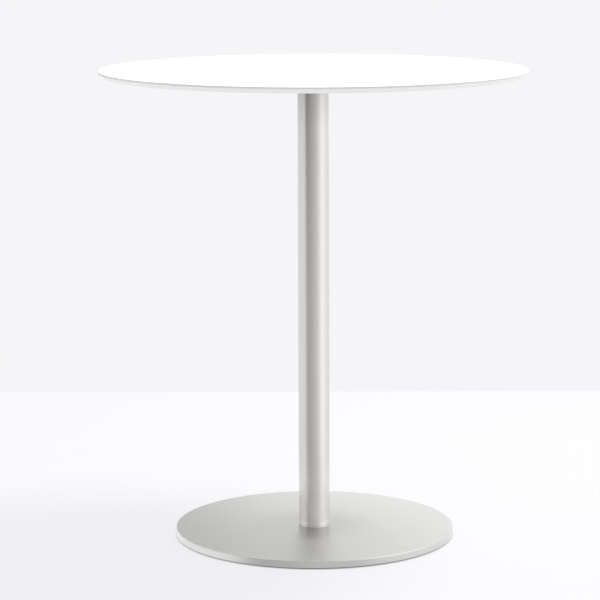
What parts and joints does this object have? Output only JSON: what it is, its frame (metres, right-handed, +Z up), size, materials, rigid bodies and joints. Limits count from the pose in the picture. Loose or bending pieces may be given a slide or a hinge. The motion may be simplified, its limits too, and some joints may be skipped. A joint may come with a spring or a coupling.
{
  "type": "bistro table",
  "caption": "Round bistro table with a thin white laminate top, a slim brushed steel column and a weighted disc base on levelling glides.",
  "frame": {"origin": "on the floor, on the column's axis, at the centre of the base's footprint", "axes": "+Z up along the column; the table is round, so +X and +Y lie between the glides and the arms of the spider"},
  "size_m": [0.6799, 0.68, 0.755],
  "materials": {
    "white_laminate": "fine satin, white right through",
    "brushed_stainless_column": "satin, polished round the tube",
    "brushed_stainless_base": "satin, brushed in straight lines",
    "cast_alloy": "as cast, faces machined",
    "zinc_steel": "bright zinc plate",
    "turned_steel": "fine turned",
    "brass": "plain turned",
    "coated_ballast": "black powder coat",
    "glide_nylon": "moulded, slightly worn underneath"
  },
  "bodies": {
    "root": {"tabletop_panel": "white_laminate", "threaded_inserts": "brass", "top_spider": "cast_alloy", "spider_screws": "zinc_steel", "spider_washers": "zinc_steel", "rod_top_washer": "zinc_steel", "rod_top_lock_washer": "zinc_steel", "rod_top_nut": "zinc_steel", "tie_rod": "zinc_steel", "column_tube": "brushed_stainless_column", "column_foot_hub": "turned_steel", "hub_screws": "zinc_steel", "base_cover": "brushed_stainless_base", "ballast_plate": "coated_ballast"},
    "pad_1": {"glide_pad_1": "glide_nylon"},
    "stud_1": {"glide_stud_1": "zinc_steel"},
    "pad_2": {"glide_pad_2": "glide_nylon"},
    "stud_2": {"glide_stud_2": "zinc_steel"},
    "pad_3": {"glide_pad_3": "glide_nylon"},
    "stud_3": {"glide_stud_3": "zinc_steel"},
    "pad_4": {"glide_pad_4": "glide_nylon"},
    "stud_4": {"glide_stud_4": "zinc_steel"}
  },
  "joints": [
    {"name": "glide_travel_1", "type": "slide", "parent": "root", "child": "pad_1", "axis": [0, 0, -1], "range_m": [0, 0.004]},
    {"name": "glide_turn_1", "type": "hinge", "parent": "pad_1", "child": "stud_1", "pos_m": [0.13789, 0.13789, 0.006], "axis": [0, 0, -1], "range_deg": [0, 1152]},
    {"name": "glide_travel_2", "type": "slide", "parent": "root", "child": "pad_2", "axis": [0, 0, -1], "range_m": [0, 0.004]},
    {"name": "glide_turn_2", "type": "hinge", "parent": "pad_2", "child": "stud_2", "pos_m": [-0.13789, 0.13789, 0.006], "axis": [0, 0, -1], "range_deg": [0, 1152]},
    {"name": "glide_travel_3", "type": "slide", "parent": "root", "child": "pad_3", "axis": [0, 0, -1], "range_m": [0, 0.004]},
    {"name": "glide_turn_3", "type": "hinge", "parent": "pad_3", "child": "stud_3", "pos_m": [-0.13789, -0.13789, 0.006], "axis": [0, 0, -1], "range_deg": [0, 1152]},
    {"name": "glide_travel_4", "type": "slide", "parent": "root", "child": "pad_4", "axis": [0, 0, -1], "range_m": [0, 0.004]},
    {"name": "glide_turn_4", "type": "hinge", "parent": "pad_4", "child": "stud_4", "pos_m": [0.13789, -0.13789, 0.006], "axis": [0, 0, -1], "range_deg": [0, 1152]}
  ],
  "couplings": [
    {"joint": "glide_travel_1", "follows": "glide_turn_1", "m_per_rad": 0.00019894},
    {"joint": "glide_travel_2", "follows": "glide_turn_2", "m_per_rad": 0.00019894},
    {"joint": "glide_travel_3", "follows": "glide_turn_3", "m_per_rad": 0.00019894},
    {"joint": "glide_travel_4", "follows": "glide_turn_4", "m_per_rad": 0.00019894}
  ]
}
